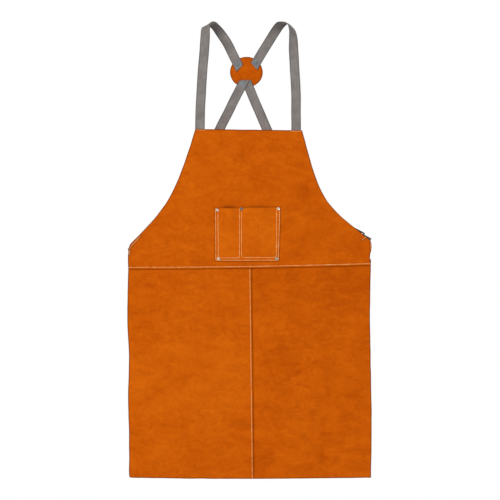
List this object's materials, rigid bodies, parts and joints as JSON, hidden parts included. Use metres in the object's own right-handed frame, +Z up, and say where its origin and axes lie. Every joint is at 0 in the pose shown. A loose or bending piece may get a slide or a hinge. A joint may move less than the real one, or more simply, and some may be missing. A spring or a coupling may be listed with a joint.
{
  "type": "welding apron",
  "caption": "Split-leather welding apron with a bib, divided chest pocket, panelled skirt and crossed webbing straps that clip at the sides with side-release buckles.",
  "frame": {"origin": "midway between the two shoulder loops, at the height where they rest on what holds the apron up", "axes": "+Z up, the front of the apron faces -Y, +X to the right for someone who faces its front"},
  "size_m": [0.6395, 0.0761, 1.1979],
  "materials": {
    "leather": "matte",
    "pocket_leather": "matte",
    "webbing": "matte",
    "thread": "matte",
    "buckle_plastic": "satin",
    "rivet_metal": "satin"
  },
  "bodies": {
    "apron": {"bib_panel": "leather", "skirt_panel_left": "leather", "skirt_panel_right": "leather", "back_patch": "leather", "chest_pocket": "pocket_leather", "shoulder_strap_left": "webbing", "shoulder_strap_right": "webbing", "back_strap_left": "webbing", "back_strap_right": "webbing", "side_tab_left": "webbing", "side_tab_right": "webbing", "buckle_socket_left": "buckle_plastic", "buckle_socket_right": "buckle_plastic", "rivet_top_left_cap": "rivet_metal", "rivet_top_left_post": "rivet_metal", "rivet_top_middle_cap": "rivet_metal", "rivet_top_middle_post": "rivet_metal", "rivet_top_right_cap": "rivet_metal", "rivet_top_right_post": "rivet_metal", "rivet_bottom_left_cap": "rivet_metal", "rivet_bottom_left_post": "rivet_metal", "rivet_bottom_right_cap": "rivet_metal", "rivet_bottom_right_post": "rivet_metal", "waist_seam_thread": "thread", "centre_seam_thread": "thread", "pocket_outer_thread": "thread", "pocket_left_thread": "thread", "pocket_right_thread": "thread", "strap_tack_left": "thread", "strap_tack_right": "thread", "corner_thread_left": "thread", "corner_thread_right_across": "thread", "corner_thread_right_side": "thread", "patch_tack_shoulder_left": "thread", "patch_tack_shoulder_right": "thread", "patch_tack_back": "thread"},
    "plug_left": {"buckle_plug_left": "buckle_plastic"},
    "plug_right": {"buckle_plug_right": "buckle_plastic"}
  },
  "joints": [
    {"name": "buckle_release_left", "type": "slide", "parent": "apron", "child": "plug_left", "axis": [0.9397, 0, 0.342], "range_m": [0, 0.025], "deforming": ["back_strap_left"]},
    {"name": "buckle_release_right", "type": "slide", "parent": "apron", "child": "plug_right", "axis": [-0.8829, 0, 0.4695], "range_m": [0, 0.025], "deforming": ["back_strap_right"]}
  ]
}
